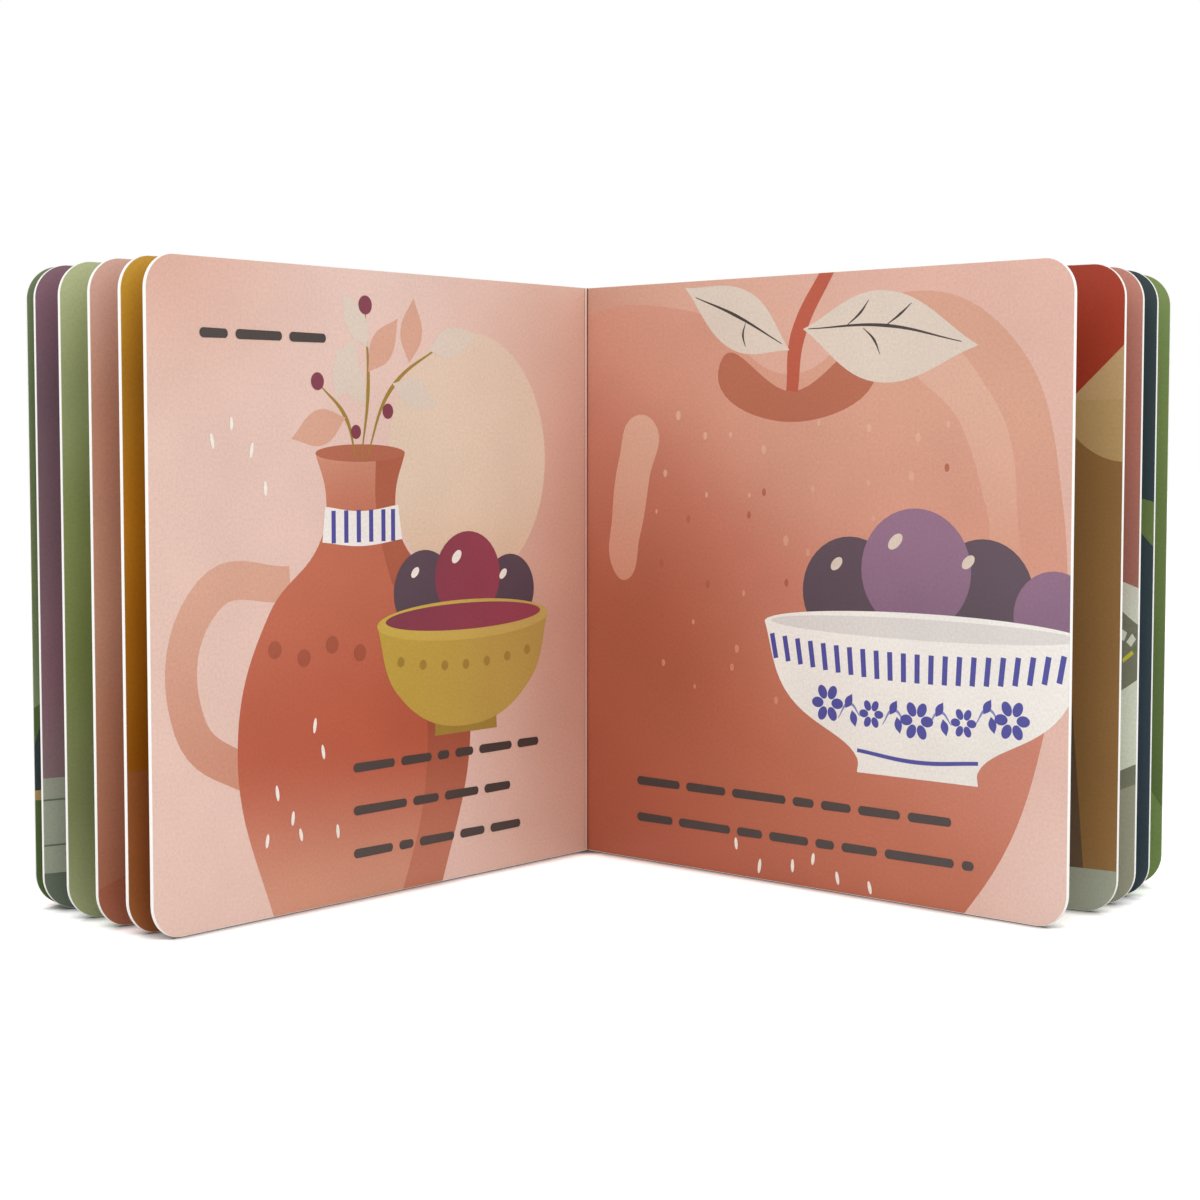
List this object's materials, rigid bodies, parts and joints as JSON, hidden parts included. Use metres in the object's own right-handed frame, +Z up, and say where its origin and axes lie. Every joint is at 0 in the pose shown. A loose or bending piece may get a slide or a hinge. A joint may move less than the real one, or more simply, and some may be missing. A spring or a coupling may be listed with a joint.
{
  "type": "board book",
  "caption": "Square board book that stands open on its lower edges, thick rounded leaves fanned to both sides, hinged cover boards and a bowed card spine.",
  "frame": {"origin": "foot of the gutter, where the two facing pages meet on the surface that the book stands on", "axes": "+X along the open book to the reader's right, +Y away from the reader towards the spine, +Z up"},
  "size_m": [0.326, 0.1491, 0.18],
  "materials": {
    "leaf_board": "white board core on the cut edges under matt laminated print",
    "cover_board": "matt laminated print on white board",
    "spine_card": "matt laminated print on white card"
  },
  "bodies": {
    "book_block": {"page_block": "leaf_board", "spine": "spine_card"},
    "front_cover": {"front_cover": "cover_board"},
    "back_cover": {"back_cover": "cover_board"}
  },
  "joints": [
    {"name": "front_cover_fold", "type": "hinge", "parent": "book_block", "child": "front_cover", "pos_m": [-0.00394, 0.00415, 0], "axis": [0, 0, -1], "range_deg": [-1.5, 115], "deforming": ["spine"]},
    {"name": "back_cover_fold", "type": "hinge", "parent": "book_block", "child": "back_cover", "pos_m": [0.00259, 0.00377, 0], "axis": [0, 0, 1], "range_deg": [-5.4, 105], "deforming": ["spine"]}
  ]
}
